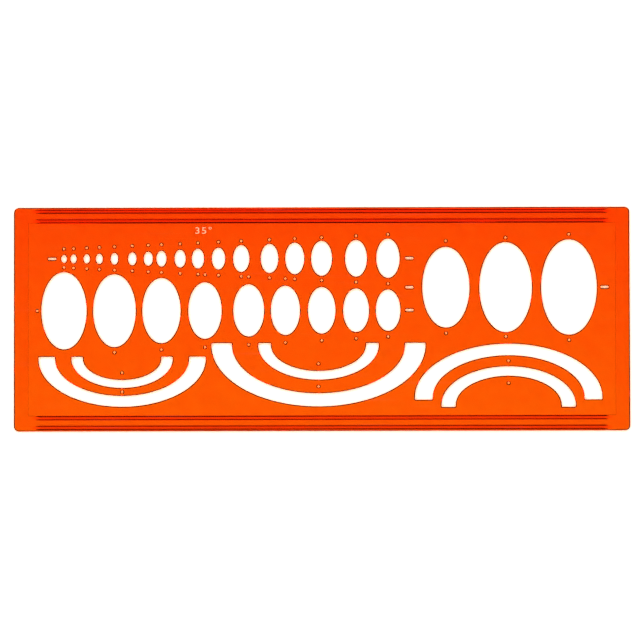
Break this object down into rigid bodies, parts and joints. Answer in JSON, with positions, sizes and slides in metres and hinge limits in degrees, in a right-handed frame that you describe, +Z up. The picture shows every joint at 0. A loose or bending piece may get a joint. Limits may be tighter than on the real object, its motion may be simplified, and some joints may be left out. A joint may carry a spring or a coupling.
{
  "type": "ellipse template",
  "caption": "Drawing template moulded in see-through orange plastic, pierced with rows of ellipses, half-ellipse slots and centre marks, with raised ink ribs under its long edges.",
  "frame": {"origin": "middle of the footprint, at the level on which the rib feet rest", "axes": "+X along the blank towards the large ellipses, +Y across it towards the rear edge beside the small ellipses, +Z up out of the flat top face"},
  "size_m": [0.25, 0.091, 0.0021],
  "materials": {
    "clear_orange_plastic": "gloss, see-through tint"
  },
  "bodies": {
    "root": {"pierced_panel": "clear_orange_plastic", "rear_edge_bar": "clear_orange_plastic", "front_edge_bar": "clear_orange_plastic", "left_end_bar": "clear_orange_plastic", "right_end_bar": "clear_orange_plastic", "rear_outer_rib": "clear_orange_plastic", "rear_inner_rib": "clear_orange_plastic", "front_inner_rib": "clear_orange_plastic", "front_outer_rib": "clear_orange_plastic"}
  },
  "joints": []
}
